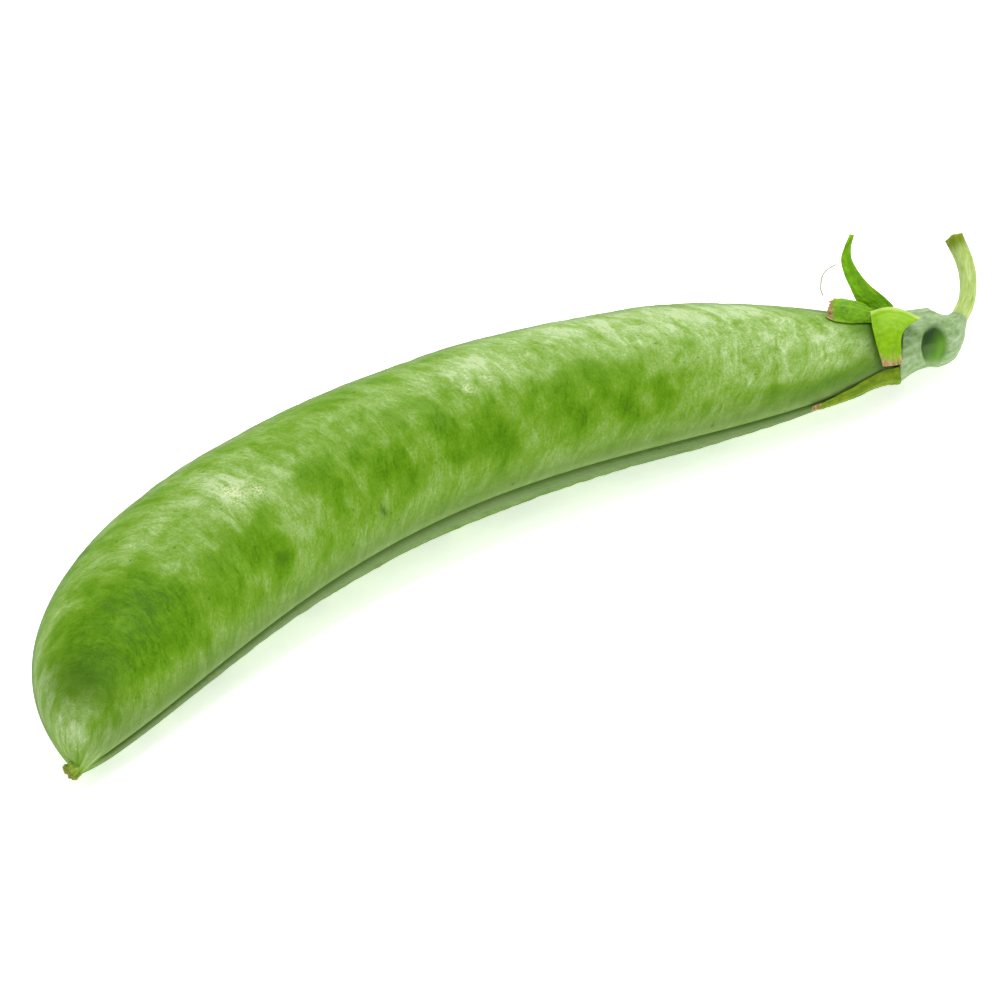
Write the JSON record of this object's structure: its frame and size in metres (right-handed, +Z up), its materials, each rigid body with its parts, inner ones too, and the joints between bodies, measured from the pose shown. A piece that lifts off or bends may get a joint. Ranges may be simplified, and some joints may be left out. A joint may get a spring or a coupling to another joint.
{
  "type": "pea pod",
  "caption": "Fresh closed garden pea pod lying on its side, curved and plump, with calyx cup, sepals, a withered stamen thread and a short hooked stalk.",
  "frame": {"origin": "bottom centre of the bounding box of the pod as it lies at rest", "axes": "+X along the length of the pod towards the calyx and stalk, +Y towards the convex back seam, +Z up with the pod lying on its side"},
  "size_m": [0.092, 0.0246, 0.0133],
  "materials": {
    "pod": "waxy satin",
    "style": "dry matt",
    "calyx": "satin",
    "sepal": "satin",
    "stalk": "satin",
    "thread": "dry matt"
  },
  "bodies": {
    "root": {"pod": "pod", "style_stub": "style", "calyx_cup": "calyx", "sepal_upright": "sepal", "sepal_back": "sepal", "sepal_front": "sepal", "sepal_belly": "sepal", "sepal_under": "sepal", "stalk": "stalk", "stamen_thread": "thread"}
  },
  "joints": []
}
